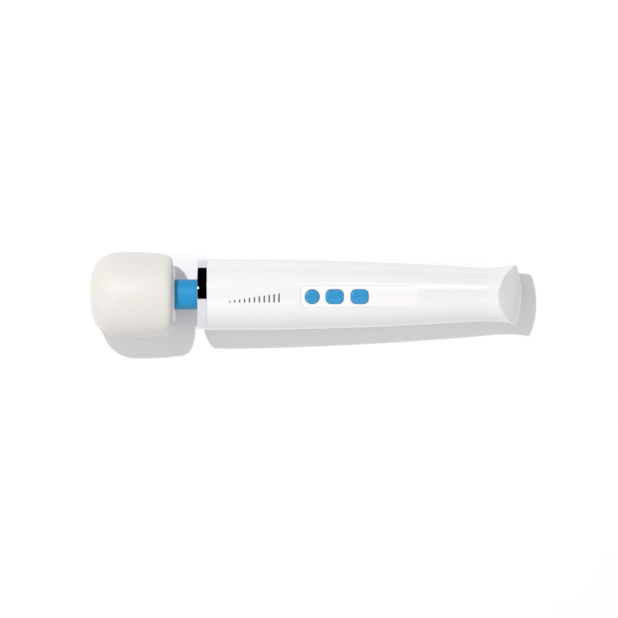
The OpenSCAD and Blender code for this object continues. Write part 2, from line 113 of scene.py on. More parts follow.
# Handle
ring_s = extent("chrome_ring")[0][0]
ring_end = extent("chrome_ring")[1][0]
ring_r = extent("chrome_ring")[1][2]
shell_s = ring_end + 0.05
wand_l = extent("upper_shell")[1][0]
wall = 2.6
crown_r = 20.5
crown_s = 75
crown_arc = 2250
waist_s = 228
flare_arc = 90.6
nose_plan_r = 46.5
nose_slope = 0.41
nose_curve = 0.0365
nose_centre = wand_l - nose_plan_r
socket_z = -8
socket_r = 4.2
socket_bore_r = 1.8

# Controls
panel_sink = 0.4
plate_t = 1.15
plate_corner_r = 2.9
pocket_gap = 0.1
pocket_depth = 1.6
seam = 0.03  # between the panel's plate and its pocket
button_proud = 0.2
skirt_out = 0.7
key_corner_r = 3
key_gap = 0.09
lens_gap = 0.1

# Grid lines of the meshes around the controls
station_step = 0.6
side_step = 0.65


def crown_radius(s):
    return crown_r - (s - crown_s) ** 2 / (2 * crown_arc)


# The long convex arc and the flare meet where their slopes are the same
join_s = (waist_s / flare_arc + crown_s / crown_arc) / (1 / flare_arc + 1 / crown_arc)
waist_r = crown_radius(join_s) - (join_s - waist_s) ** 2 / (2 * flare_arc)


def handle_radius(s):
    """Radius of the handle at station s."""
    return crown_radius(s) if s < join_s else waist_r + (s - waist_s) ** 2 / (2 * flare_arc)


def nose_station(y, z, inset=0):
    """Station of the nose surface, drawn in by inset, at a side offset and a height."""
    plan_r = nose_plan_r - inset - nose_slope * abs(z) - nose_curve * z * z
    return nose_centre + sqrt(plan_r**2 - y**2)


# ---------------------------------------------------------------- mesh tools


def ease(t):
    """Goes smoothly from 0 to 1 as t does, and stays there outside."""
    t = min(max(t, 0), 1)
    return t * t * (3 - 2 * t)


def add_object(name, data):
    obj = bpy.data.objects.new(name, data)
    scene.collection.objects.link(obj)
    return obj


def add_mesh(name, *solids):
    """One object from closed solids, each a pair of its places and its faces."""
    points, faces = [], []
    for places, solid_faces in solids:
        start = len(points)
        points += [to_frame(place) for place in places]
        faces += [[start + k for k in face] for face in solid_faces]
    mesh = bpy.data.meshes.new(name)
    mesh.from_pydata(points, [], faces)
    work = bmesh.new()
    work.from_mesh(mesh)
    bmesh.ops.remove_doubles(work, verts=work.verts, dist=0.002 * MM)
    loose = [v for v in work.verts if not v.link_faces]
    bmesh.ops.delete(work, geom=loose, context="VERTS")
    bmesh.ops.recalc_face_normals(work, faces=work.faces)
    work.to_mesh(mesh)
    work.free()
    obj = add_object(name, mesh)
    shade(obj)
    return obj


def shade(obj, crisp=32):
    """Smooth shading, with edges sharper than `crisp` degrees kept crisp."""
    obj.data.shade_smooth()
    obj.data.set_sharp_from_angle(angle=radians(crisp))


def weigh(obj):
    """Lets big faces decide the shading beside narrow rounded edges."""
    modifier = obj.modifiers.new("weighted_normal", "WEIGHTED_NORMAL")
    modifier.keep_sharp = True
    modifier.weight = 50


def settle(obj):
    """Puts the result of an object's modifiers into its mesh."""
    graph = bpy.context.evaluated_depsgraph_get()
    mesh = bpy.data.meshes.new_from_object(obj.evaluated_get(graph))
    obj.modifiers.clear()
    obj.data = mesh
    return obj


def cut(obj, *cutters):
    """Takes each cutter's solid out of an object."""
    for cutter in cutters:
        modifier = obj.modifiers.new("cut", "BOOLEAN")
        modifier.object = cutter
        modifier.solver = "EXACT"
    settle(obj)
    for cutter in cutters:
        bpy.data.objects.remove(cutter)
    shade(obj)
    return obj


along_wand = Matrix(((0, 0, 1, 0), (0, 1, 0, 0), (-1, 0, 0, 0), (0, 0, 0, 1)))


def upright(s, y):
    """A vertical axis, so that heights are the wand's own z."""
    return Matrix.Translation((s, y, 0))


def spun(outline, place=along_wand, steps=144):
    """A solid of revolution: a closed outline of (height, radius) about the Z of `place`."""
    places, rings, faces = [], [], []
    for height, radius in outline:
        count = steps if radius > 1e-6 else 1
        rings.append(range(len(places), len(places) + count))
        for k in range(count):
            a = 2 * pi * k / steps
            places.append(tuple(place @ Vector((radius * cos(a), radius * sin(a), height))))
    for below, above in zip(rings, rings[1:] + rings[:1]):
        if len(below) + len(above) == 2:
            continue
        for k in range(steps):
            turn = (k + 1) % steps
            face = [below[k % len(below)], below[turn % len(below)]]
            face += [above[turn % len(above)], above[k % len(above)]]
            faces.append(list(dict.fromkeys(face)))
    return places, faces


def rounded(corners, steps=5):
    """Rounds an outline: each corner is (height, radius, radius of its rounding)."""
    outline = []
    for i, (height, radius, rounding) in enumerate(corners):
        here = Vector((height, radius))
        if not rounding:
            outline.append((height, radius))
            continue
        before = (Vector(corners[i - 1][:2]) - here).normalized()
        after = (Vector(corners[(i + 1) % len(corners)][:2]) - here).normalized()
        half = before.angle(after) / 2
        centre = here + (before + after).normalized() * rounding / sin(half)
        start = (here + before * rounding / tan(half) - centre).normalized()
        end = (here + after * rounding / tan(half) - centre).normalized()
        for k in range(steps + 1):
            outline.append(tuple(centre + start.slerp(end, k / steps) * rounding))
    return outline


def arc(centre, radius, start, end, steps):
    """Points along an arc between two angles in radians, on (height, radius) axes."""
    turns = [start + (end - start) * k / steps for k in range(steps + 1)]
    return [(centre.x + radius * cos(a), centre.y + radius * sin(a)) for a in turns]


# A rounded rectangle on the handle's crown, centred on y = 0
Outline = namedtuple("Outline", "s half_l half_w r")


def grown(outline, by):
    return Outline(outline.s, outline.half_l + by, outline.half_w + by, outline.r + by)


def outside(outline, s, y):
    """How far (s, y) lies outside an outline; inside, the distance is negative."""
    a = abs(s - outline.s) - (outline.half_l - outline.r)
    b = abs(y) - (outline.half_w - outline.r)
    return hypot(max(a, 0), max(b, 0)) + min(max(a, b), 0) - outline.r


def round_corner(outline, s, y, full=0.5, reach=1.2):
    """Moves a grid point so that the grid lines follow an outline round its corners."""
    a = abs(s - outline.s) - (outline.half_l - outline.r)
    b = abs(y) - (outline.half_w - outline.r)
    if a <= 0 or b <= 0:
        return s, y
    across = max(a, b)
    fade = reach if across > outline.r else 0.75 * outline.r
    pull = (across / hypot(a, b) - 1) * (1 - ease((abs(across - outline.r) - full) / fade))
    return s + copysign(a, s - outline.s) * pull, y + copysign(b, y) * pull


def lines(stops, step):
    """Grid lines through every stop, evenly filled so that none is further off than `step`."""
    stops = sorted(stops)
    found = [stops[0]]
    for stop in stops[1:]:
        start, gap = found[-1], stop - found[-1]
        if gap > 1e-6:
            parts = ceil(gap / step)
            found += [start + gap * (k + 1) / parts for k in range(parts)]
    return found


def both_sides(half):
    """Values that begin at 0, and the same below 0."""
    return [-value for value in half[:0:-1]] + half


def between(outer, inner, is_open=lambda i, j: False):
    """The closed solid between two equal grids of places, with walls round rims and holes."""
    rows, columns = len(outer), len(outer[0])
    places = [place for skin in (outer, inner) for row in skin for place in row]
    under = rows * columns
    cells = [(i, j) for i in range(rows - 1) for j in range(columns - 1) if not is_open(i, j)]
    filled = set(cells)
    faces = []
    for i, j in cells:
        k = i * columns + j
        quad = [k, k + columns, k + columns + 1, k + 1]
        faces += [quad, [under + corner for corner in reversed(quad)]]
        for side, (di, dj) in enumerate(((0, -1), (1, 0), (0, 1), (-1, 0))):
            if (i + di, j + dj) not in filled:
                a, b = quad[side], quad[(side + 1) % 4]
                faces.append([a, under + a, under + b, b])
    return places, faces


def round_edges(obj, width, weight_at, segments=3):
    """Rounds the edges whose two ends both have a weight, as far as `width` times that weight."""
    weights = [weight_at(*from_frame(v.co)) for v in obj.data.vertices]
    attribute = obj.data.attributes.new("bevel_weight_edge", "FLOAT", "EDGE")
    for edge in obj.data.edges:
        attribute.data[edge.index].value = min(weights[k] for k in edge.vertices)
    modifier = obj.modifiers.new("round_edges", "BEVEL")
    modifier.limit_method = "WEIGHT"
    modifier.width = width * MM
    modifier.segments = segments
    modifier.use_clamp_overlap = False
    return settle(obj)


# ---------------------------------------------------------------- materials


def node(tree, kind, inputs=(), **settings):
    """A shader node with its settings, and inputs given as values or as sockets to link."""
    made = tree.nodes.new("ShaderNode" + kind)
    for name, value in settings.items():
        setattr(made, name, value)
    for name, value in dict(inputs).items():
        if isinstance(value, bpy.types.NodeSocket):
            tree.links.new(value, made.inputs[name])
        else:
            made.inputs[name].default_value = value
    return made


def empty_tree(owner):
    """The nodes of a material, a lamp or a world, with nothing in them yet."""
    owner.use_nodes = True
    owner.node_tree.nodes.clear()
    return owner.node_tree


MIX_A, MIX_B, MIX_RESULT = 6, 7, 2  # the colour sockets of a Mix node


def moulded(name, colour, roughness, vary=0.04, mottle=60, grain=900, bump=0.05, **sockets):
    """A moulded, drawn or plated surface: slow colour and gloss changes over a fine grain.

    mottle and grain are noise scales per metre, bump is the grain's depth in mm, and
    sockets are values of the shader's own inputs.
    """
    material = bpy.data.materials.new(name)
    material.use_nodes = True
    tree = material.node_tree
    shader = tree.nodes["Principled BSDF"]
    place = node(tree, "TexCoord").outputs["Object"]
    slow = node(tree, "TexNoise", {"Vector": place, "Scale": mottle, "Detail": 4})
    fine = node(tree, "TexNoise", {"Vector": place, "Scale": grain, "Detail": 3})
    darker = [c * (1 - vary) for c in colour] + [1]
    lighter = [min(c * (1 + vary), 1) for c in colour] + [1]
    tint = node(tree, "Mix", {
        "Factor": slow.outputs["Fac"], MIX_A: darker, MIX_B: lighter,
    }, data_type="RGBA")
    tree.links.new(tint.outputs[MIX_RESULT], shader.inputs["Base Color"])
    gloss = node(tree, "MapRange", {
        "Value": fine.outputs["Fac"],
        "From Min": 0.3, "From Max": 0.7,
        "To Min": roughness * 0.85, "To Max": roughness * 1.15,
    })
    tree.links.new(gloss.outputs["Result"], shader.inputs["Roughness"])
    relief = node(tree, "Bump", {
        "Height": fine.outputs["Fac"], "Strength": 0.6, "Distance": bump * MM,
    })
    tree.links.new(relief.outputs["Normal"], shader.inputs["Normal"])
    for socket, value in sockets.items():
        shader.inputs[socket.replace("_", " ")].default_value = value
    return material


def satin_silicone(name, colour, roughness, **sockets):
    """Soft silicone rubber: light sinks a little way in, and the skin has a fine bloom."""
    return moulded(
        name, colour, roughness, vary=0.03, grain=1600, bump=0.03,
        Subsurface_Radius=(1.0, 0.8, 0.6), **sockets
    )


FINISHES = {
    "cushion": satin_silicone(
        "cushion", (0.79, 0.775, 0.735), 0.5,
        Subsurface_Weight=1.0, Subsurface_Scale=5 * MM, Sheen_Weight=0.6, Sheen_Roughness=0.5,
    ),
    "neck_blue": satin_silicone("neck_blue", (0.006, 0.30, 0.62), 0.58),
    "button_blue": satin_silicone("button_blue", (0.03, 0.30, 0.61), 0.3),
    "shell_white": moulded(
        "shell_white", (0.88, 0.88, 0.885), 0.2, vary=0.008, mottle=25, grain=500, bump=0.004,
        Coat_Weight=0.3, Coat_Roughness=0.06,
    ),
    "inner_white": moulded("inner_white", (0.80, 0.80, 0.79), 0.5, bump=0.03),
    "panel_white": moulded(
        "panel_white", (0.93, 0.925, 0.908), 0.3, vary=0.01, mottle=40, grain=1200, bump=0.006,
    ),
    "chrome": moulded(
        "chrome", (0.77, 0.775, 0.82), 0.045, vary=0.01, mottle=80, grain=700, bump=0.0008,
        Metallic=1.0,
    ),
    "steel": moulded(
        "steel", (0.55, 0.56, 0.58), 0.28, vary=0.12, mottle=300, grain=3000, bump=0.01,
        Metallic=1.0,
    ),
    "bronze": moulded(
        "bronze", (0.55, 0.36, 0.16), 0.35, vary=0.15, mottle=250, grain=2500, bump=0.02,
        Metallic=1.0,
    ),
    "copper": moulded(
        "copper", (0.70, 0.30, 0.14), 0.3, vary=0.15, mottle=400, grain=2500, bump=0.02,
        Metallic=1.0,
    ),
    "magnet": moulded("magnet", (0.07, 0.07, 0.075), 0.55, vary=0.2, grain=2500, bump=0.03),
    "black_plastic": moulded("black_plastic", (0.022, 0.022, 0.024), 0.38, vary=0.2, bump=0.02),
    "black_rubber": moulded("black_rubber", (0.018, 0.018, 0.018), 0.7, vary=0.2, bump=0.05),
    "board": moulded(
        "board", (0.02, 0.14, 0.06), 0.3, vary=0.25, mottle=220, grain=2600, bump=0.02,
        Coat_Weight=0.4,
    ),
    "cell_wrap": moulded(
        "cell_wrap", (0.04, 0.16, 0.42), 0.22, vary=0.08, mottle=120, grain=700, bump=0.02,
        Coat_Weight=0.3,
    ),
    "lens": moulded(
        "lens", (0.93, 0.925, 0.91), 0.18, vary=0.03, mottle=400, grain=2000, bump=0.003,
        Subsurface_Weight=0.4, Subsurface_Scale=1 * MM,
    ),
    "lead_red": moulded("lead_red", (0.42, 0.02, 0.02), 0.4, vary=0.1, bump=0.02),
}
print_grey = moulded("print_grey", (0.12, 0.125, 0.14), 0.45, vary=0.06, grain=2500, bump=0.004)


def finish_piece(obj, body, slot, *nodes, material=None):
    """Gives a piece its material, picked by its slot unless one is given, puts it on its body and
    hides the CAD nodes that it stands for.
    """
    obj.data.materials.clear()
    obj.data.materials.append(material or FINISHES[slot])
    if body:
        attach(obj, body)
    if nodes:
        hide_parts(*nodes)
    return obj


# ---------------------------------------------------------------- head


def meet(a, ra, b, rb):
    """The point at ra from a and rb from b that lies further from the axis."""
    apart = b - a
    along = (apart.length_squared + ra * ra - rb * rb) / (2 * apart.length)
    up = sqrt(ra * ra - along * along)
    unit = apart.normalized()
    ends = [a + along * unit + side * up * Vector((-unit.y, unit.x)) for side in (1, -1)]
    return max(ends, key=lambda point: point.y)


def cushion_outline():
    """Half the cushion's section: dome, shoulder, bulging side and back edge, all in arcs."""
    dome = Vector((dome_r, 0))
    side = Vector((head_l / 2, head_r - side_r))
    shoulder = meet(dome, dome_r - shoulder_r, side, side_r - shoulder_r)
    inner_side_r = side_r - back_r
    back = Vector((
        head_l - back_r, side.y + sqrt(inner_side_r**2 - (head_l - back_r - side.x) ** 2)
    ))
    turn_dome = atan2(*(shoulder - dome).yx)
    turn_side = atan2(*(shoulder - side).yx)
    turn_back = atan2(*(back - side).yx)
    return (
        arc(dome, dome_r, pi, turn_dome, 28)
        + arc(shoulder, shoulder_r, turn_dome, turn_side, 20)[1:]
        + arc(side, side_r, turn_side, turn_back, 24)[1:]
        + arc(back, back_r, turn_back, 0, 12)[1:]
    )


def make_head():
    lip_r = cap_r + 0.1
    corner_s, corner_r = head_inner_corner
    bore = rounded([
        (head_l, lip_r, 0.5),
        (head_l - lip_l, lip_r, 0),
        (head_l - lip_l, head_inner_r, 0),
        (corner_s, head_inner_r, 0),
        (head_inner_front, corner_r, 0),
        (head_inner_front, 0, 0),
    ])
    cushion = add_mesh("head_cushion_skin", spun(cushion_outline() + bore, steps=192))
    weigh(cushion)
    finish_piece(cushion, "head", "cushion", "head_cushion")

    body_end = head_l - 1.6
    neck_seat_s, neck_seat_r = sleeve_front - 0.1, neck_r + 0.1
    cap = add_mesh("head_cap_moulding", spun(rounded([
        (cap_seat, cap_bore_r, 0),
        (cap_seat, cap_body_r, 0.3),
        (body_end, cap_body_r, 0),
        (body_end, cap_r, 0),
        (cap_back - 0.1, cap_r, 0.9),
        (cap_back, neck_r + 1.5, 0),
        (cap_back, neck_seat_r, 0.3),
        (neck_seat_s, neck_seat_r, 0),
        (neck_seat_s, cap_bore_r, 0),
    ])))
    floor, flare, above = cap_back - 2, cap_back - 0.2, cap_back + 3
    screw_head_r, mouth_r, screw_r = 2, 2.4, 1.1
    recess = [
        (floor, 0), (floor, screw_head_r), (flare, screw_head_r),
        (cap_back + 0.2, mouth_r), (above, mouth_r), (above, 0),
    ]
    bore = [(cap_seat - 1, 0), (cap_seat - 1, screw_r), (cap_back, screw_r), (cap_back, 0)]
    cutters = []
    for k in range(3):
        a = 2 * pi * k / 3
        place = Matrix.Translation((0, head_screw_circle * sin(a), head_screw_circle * cos(a)))
        for outline in (recess, bore):
            cutters.append(add_mesh("recess", spun(outline, place @ along_wand, steps=48)))
    cut(cap, *cutters)
    weigh(cap)
    finish_piece(cap, "head", "inner_white", "head_cap", material=FINISHES["shell_white"])


def helix(span, start, rise, radius, wire_r, steps=32, sides=12):
    """Round wire over a span of stations, part of a helix that begins at station `start`.

    rise is the way along the wand that one turn takes.
    """
    first, last = span
    count = round((last - first) / rise * steps)
    places, faces = [], []
    for i in range(count + 1):
        s = first + (last - first) * i / count
        angle = 2 * pi * (s - start) / rise
        for k in range(sides):
            around = 2 * pi * k / sides
            r = radius + wire_r * cos(around)
            places.append((s + wire_r * sin(around), r * sin(angle), -r * cos(angle)))
    for i in range(count):
        for k in range(sides):
            a, b = i * sides + k, i * sides + (k + 1) % sides
            faces.append((a, b, b + sides, a + sides))
    faces += [tuple(range(sides)), tuple(range(count * sides, (count + 1) * sides))]
    return places, faces


def neck_solid(name, is_front):
    """The half of a neck piece that is ahead of the middle of the neck, or the half behind it."""
    (start, _, _), (end, _, outer_r) = extent(name)
    middle = pitch_bend[1]
    if name == "neck_sleeve":
        stations = lines([start, middle] if is_front else [middle, end], 0.6)
        outline = [(s, outer_r) for s in stations] + [(s, neck_bore_r) for s in stations[::-1]]
        return spun(outline, steps=128)
    wire_r, turns = neck_coils[name]
    start, end = start + wire_r, end - wire_r
    span = (start, middle) if is_front else (middle, end)
    return helix(span, start, (end - start) / turns, outer_r - wire_r, wire_r)


def make_neck():
    """The sleeve, its spring and the flexible shaft, each in two halves.
    """
    for name, slot in (
        ("neck_sleeve", "neck_blue"), ("neck_spring", "steel"), ("flexible_shaft", "steel")
    ):
        for half, bodies, bend in (
            ("front", ("neck", "head"), yaw_bend),
            ("rear", ("handle", "neck"), pitch_bend),
        ):
            piece = add_mesh(f"{name}_{half}", neck_solid(name, half == "front"))
            finish_piece(piece, None, slot, name)
            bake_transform(piece)


# ---------------------------------------------------------------- handle

flat_half = 9  # rows this close to the crown keep their side offset
fixed_s = 195  # stations up to here are the same in every row
shell_edge_w = 0.45
shell_screws = [(s, side * y) for s, y in ((118.5, 12.5), (200, 9)) for side in (1, -1)]


def outline_of(node_name, r=None, skirt=0):
    """The outline of a CAD node's box without the skirt round it.

    r is the radius of its corners. With none given, its ends are half circles.
    """
    low, high = extent(node_name)
    half_w = (high[1] - low[1]) / 2 - skirt
    half_l = (high[0] - low[0]) / 2 - skirt
    return Outline((low[0] + high[0]) / 2, half_l, half_w, r or half_w)


pocket = grown(outline_of("control_panel", plate_corner_r), pocket_gap)
power_key = outline_of("power_button", skirt=skirt_out)
minus_key = outline_of("minus_button", key_corner_r, skirt_out)
plus_key = outline_of("plus_button", key_corner_r, skirt_out)
key_half_w = minus_key.half_w + key_gap
power_hole = Outline(power_key.s, key_half_w, key_half_w, key_half_w)
key_holes = [power_hole, grown(minus_key, key_gap), grown(plus_key, key_gap)]

lens_r = extent("indicator_lenses")[1][1]
lens_hole_r = lens_r + lens_gap
lens_low, lens_high = (place[0] for place in extent("indicator_lenses"))
lens_stations = [lens_low + lens_r, (lens_low + lens_high) / 2, lens_high - lens_r]
lens_holes = [Outline(s, lens_hole_r, lens_hole_r, lens_hole_r) for s in lens_stations]
panel_holes = key_holes + lens_holes
hole_stops = [h.s + end * h.half_l for h in panel_holes for end in (-1, 0, 1)]


def in_panel_hole(grid, i, j):
    """Whether the middle of a grid's cell lies in a hole of the panel."""
    corners = grid[i][j], grid[i + 1][j + 1], grid[i + 1][j], grid[i][j + 1]
    s, y = (sum(corner[axis] for corner in corners) / 4 for axis in (0, 1))
    return any(outside(hole, s, y) < 0 for hole in panel_holes)


def round_panel_corners(s, y, border):
    """Rounds the grid to every hole of the panel, and then to the border around them."""
    for hole in key_holes:
        s, y = round_corner(hole, s, y)
    for hole in lens_holes:
        s, y = round_corner(hole, s, y, full=0.1, reach=0.5)
    return round_corner(border, s, y)


def across(v, r):
    """(y, z) of row v at radius r: rows up to 1 keep their side offset, the rest fan out."""
    if abs(v) <= 1:
        return v * flat_half, sqrt(r * r - (v * flat_half) ** 2)
    edge = asin(flat_half / r)
    a = edge + (pi / 2 - edge) * (abs(v) - 1)
    return copysign(r * sin(a), v), r * cos(a)


def rim_station(v, inset):
    """Where row v of the handle meets the nose surface, found by halving."""
    low, high = waist_s, wand_l + 5
    for _ in range(40):
        middle = (low + high) / 2
        if middle < nose_station(*across(v, handle_radius(middle) - inset), inset):
            low = middle
        else:
            high = middle
    return low


def shell_skin(stations, rows, inset, pocket_drop=0, tail_steps=30, face_steps=16):
    """One skin of the upper shell: the handle back to the nose rim, and then the nose face."""
    grid = []
    for s in stations:
        line = []
        for v in rows:
            place_s, place_y = s, v * flat_half
            if abs(v) <= 1:
                place_s, place_y = round_panel_corners(place_s, place_y, pocket)
            drop = pocket_drop if outside(pocket, place_s, place_y) < -0.02 else 0
            r = handle_radius(place_s) - inset - drop
            if abs(v) <= 1:
                line.append((place_s, place_y, sqrt(r * r - place_y**2)))
            else:
                line.append((s, *across(v, r)))
        grid.append(line)
    rims = [rim_station(v, inset) for v in rows]
    for k in range(1, tail_steps + 1):
        line = []
        for v, rim in zip(rows, rims):
            s = stations[-1] + (rim - stations[-1]) * k / tail_steps
            line.append((s, *across(v, handle_radius(s) - inset)))
        grid.append(line)
    edge = grid[-1]
    for k in range(1, face_steps + 1):
        line = []
        for _, y, z in edge:
            height = z * (1 - k / face_steps)
            line.append((nose_station(y, height, inset), y, height))
        grid.append(line)
    return grid


def flipped(solid):
    """The same solid upside down."""
    places, faces = solid
    return [(s, y, -z) for s, y, z in places], faces


def on_handle(s, y, z, within=0.005):
    return abs(hypot(y, z) - handle_radius(s)) < within


def on_nose(s, y, z, within=0.005):
    return s > waist_s and abs(z) < head_r and abs(s - nose_station(y, z)) < within


def shell_edge_weight(s, y, z, within=0.001):
    """How far a shell's edges are rounded at a place, as a share of the widest rounding."""
    rim, parting, ring_end_edge, pocket_edge = 0.7, 0.3, 0.5, 1
    fade = 4  # the rim's rounding narrows over this height, towards the parting line
    handle, nose = on_handle(s, y, z), on_nose(s, y, z)
    if handle and nose:
        return max(rim * min(1, abs(z) / fade), parting)
    if not (handle or nose):
        return 0
    if abs(z) < within:
        return parting
    if s < shell_s + within:
        return ring_end_edge
    if z > 0 and abs(outside(pocket, s, y)) < within:
        return pocket_edge
    return 0


def make_upper_shell():
    first, last = pocket.s - pocket.half_l, pocket.s + pocket.half_l
    wall_w = 0.05  # the pocket's walls lean by this much
    front_step, rear_step, side_rows = 1.8, 1.4, 16
    stops = [first, first + wall_w, last - wall_w, last, *hole_stops]
    stations = lines([shell_s, first], front_step)[:-1] + lines(stops, station_step)
    stations += lines([last, fixed_s], rear_step)[1:]
    offsets = [0, pocket.half_w, pocket.half_w - wall_w, key_half_w, lens_hole_r, flat_half]
    flat_rows = [y / flat_half for y in lines(offsets, side_step)]
    rows = both_sides(flat_rows + [1 + (k + 1) / side_rows for k in range(side_rows)])
    outer = shell_skin(stations, rows, 0, pocket_depth)
    inner = shell_skin(stations, rows, wall)

    def in_hole(i, j):
        return i < len(stations) and in_panel_hole(outer, i, j)

    upper = add_mesh("upper_shell_moulding", between(outer, inner, in_hole))
    round_edges(upper, shell_edge_w, shell_edge_weight)
    shade(upper)
    weigh(upper)
    finish_piece(upper, "handle", "shell_white", "upper_shell")


def make_lower_shell():
    """The lower shell, with its four screw holes and the hole for the charging socket."""
    step, flat_rows, side_rows = 2, 6, 14
    stations = lines([shell_s, fixed_s], step)
    half_rows = [k / flat_rows for k in range(flat_rows)]
    rows = both_sides(half_rows + [1 + k / side_rows for k in range(side_rows + 1)])
    outer, inner = (shell_skin(stations, rows, inset) for inset in (0, wall))
    lower = add_mesh("lower_shell_moulding", flipped(between(outer, inner)))
    round_edges(lower, shell_edge_w, shell_edge_weight)

    hole_r, mouth_r, top, below = 2.3, 2.9, -7, -30
    cutters = []
    for s, y in shell_screws:
        mouth = -sqrt(handle_radius(s) ** 2 - y * y)
        outline = [
            (below, 0), (below, mouth_r), (mouth - 0.2, mouth_r),
            (mouth + 0.5, hole_r), (top, hole_r), (top, 0),
        ]
        cutters.append(add_mesh("screw_hole", spun(outline, upright(s, y), steps=64)))
    hole_r, mouth_r, reach = 4.25, 4.9, 9
    outline = [
        (-reach, 0), (-reach, hole_r), (-0.3, hole_r), (0.4, mouth_r), (reach, mouth_r), (reach, 0)
    ]
    cutters.append(add_mesh("socket_hole", spun(outline, at_socket(), steps=96)))
    cut(lower, *cutters)
    weigh(lower)
    finish_piece(lower, "handle", "shell_white", "lower_shell")


def at_socket():
    """The charging socket's axis, pointing out of the lower nose surface."""
    tilt = atan(nose_slope + 2 * nose_curve * abs(socket_z))
    return (
        Matrix.Translation((nose_station(0, socket_z), 0, socket_z))
        @ Matrix.Rotation(pi / 2 + tilt, 4, "Y")
    )


def make_socket():
    """The charging socket's black body, and the bright contact sleeve inside its hole."""
    back, front = -15.6, -0.6
    deep, dish, lead_in = front - 12, front - 0.35, front - 0.75
    contact_r = socket_bore_r + 0.25
    body = add_mesh("charging_socket_body", spun(rounded([
        (back, 0, 0), (back, socket_r, 0.4), (front, socket_r, 0.35),
        (front, 2.9, 0.1), (dish, 2.7, 0.1), (dish, contact_r, 0.25),
        (deep, contact_r, 0), (deep, 0, 0),
    ]), at_socket(), steps=96))
    weigh(body)
    finish_piece(body, "handle", "black_rubber", "charging_socket")
    sleeve = add_mesh("charging_socket_contact", spun(rounded([
        (deep, contact_r, 0), (lead_in, contact_r, 0.08),
        (lead_in, socket_bore_r, 0.1), (deep, socket_bore_r, 0),
    ]), at_socket(), steps=96))
    weigh(sleeve)
    finish_piece(sleeve, "handle", "steel")


def make_ring():
    hole_r, inside_r, web_end = neck_r + 0.4, 18, ring_s + 1.5
    ring = add_mesh("chrome_ring_plated", spun(rounded([
        (ring_s, hole_r, 0.4),
        (ring_s, ring_r, 0.6),
        (ring_end, ring_r, 0.15),
        (ring_end, inside_r, 0),
        (web_end, inside_r, 0),
        (web_end, hole_r, 0),
    ], steps=8), steps=240))
    weigh(ring)
    finish_piece(ring, "handle", "chrome", "chrome_ring")


# ---------------------------------------------------------------- controls


def crown_grid(stations, offsets, moved, height):
    """A grid of places over the crown, from grid lines that `moved` bends to the outlines."""
    places = [[moved(s, y) for y in offsets] for s in stations]
    return [[(s, y, height(s, y)) for s, y in line] for line in places]


def crown_height(s, y, inset):
    return sqrt((handle_radius(s) - inset) ** 2 - y * y)


def make_panel():
    plate = grown(pocket, -seam)
    stops = [plate.s - plate.half_l, plate.s + plate.half_l, *hole_stops]
    stations = lines(stops, station_step)
    offsets = both_sides(lines([0, plate.half_w, key_half_w, lens_hole_r], side_step))
    top, bottom = (
        crown_grid(
            stations, offsets,
            lambda s, y: round_panel_corners(s, y, plate),
            lambda s, y, inset=inset: crown_height(s, y, inset),
        )
        for inset in (panel_sink, panel_sink + plate_t)
    )

    def edge_weight(s, y, z):
        """The top edges are rounded: most round the keys, and less elsewhere."""
        off_top, off_border = 0.01, 0.002
        if abs(z - crown_height(s, y, panel_sink)) > off_top:
            return 0
        for weight, borders in ((0.3, [*lens_holes, plate]), (1, key_holes)):
            if any(abs(outside(border, s, y)) < off_border for border in borders):
                return weight
        return 0

    in_hole = partial(in_panel_hole, top)
    panel = add_mesh("control_panel_plate", between(top, bottom, in_hole))
    round_edges(panel, width=0.28, weight_at=edge_weight)
    shade(panel)
    weigh(panel)
    finish_piece(panel, "handle", "panel_white", "control_panel")


def bar_distance(s, y, half_l, half_w):
    """Distance outside a bar with round ends that is centred on (0, 0)."""
    reach = half_l - half_w
    return hypot(max(abs(s) - reach, 0), y) - half_w


def minus_icon(s, y):
    half_l, half_w = 1.9, 0.32
    return bar_distance(s, y, half_l, half_w)


def plus_icon(s, y):
    return min(minus_icon(s, y), minus_icon(y, s))


def power_icon(s, y):
    """A circle that is open at the top, with a bar standing in the opening."""
    circle_r, half_w, gap = 1.55, 0.24, radians(38)
    circle_y, bar_y, bar_half_l = -0.15, 1.15, 0.95
    y = y - circle_y
    if abs(atan2(s, y)) > gap:
        circle = abs(hypot(s, y) - circle_r)
    else:
        circle = hypot(abs(s) - circle_r * sin(gap), y - circle_r * cos(gap))
    return min(circle - half_w, bar_distance(y - bar_y, s, bar_half_l, half_w))


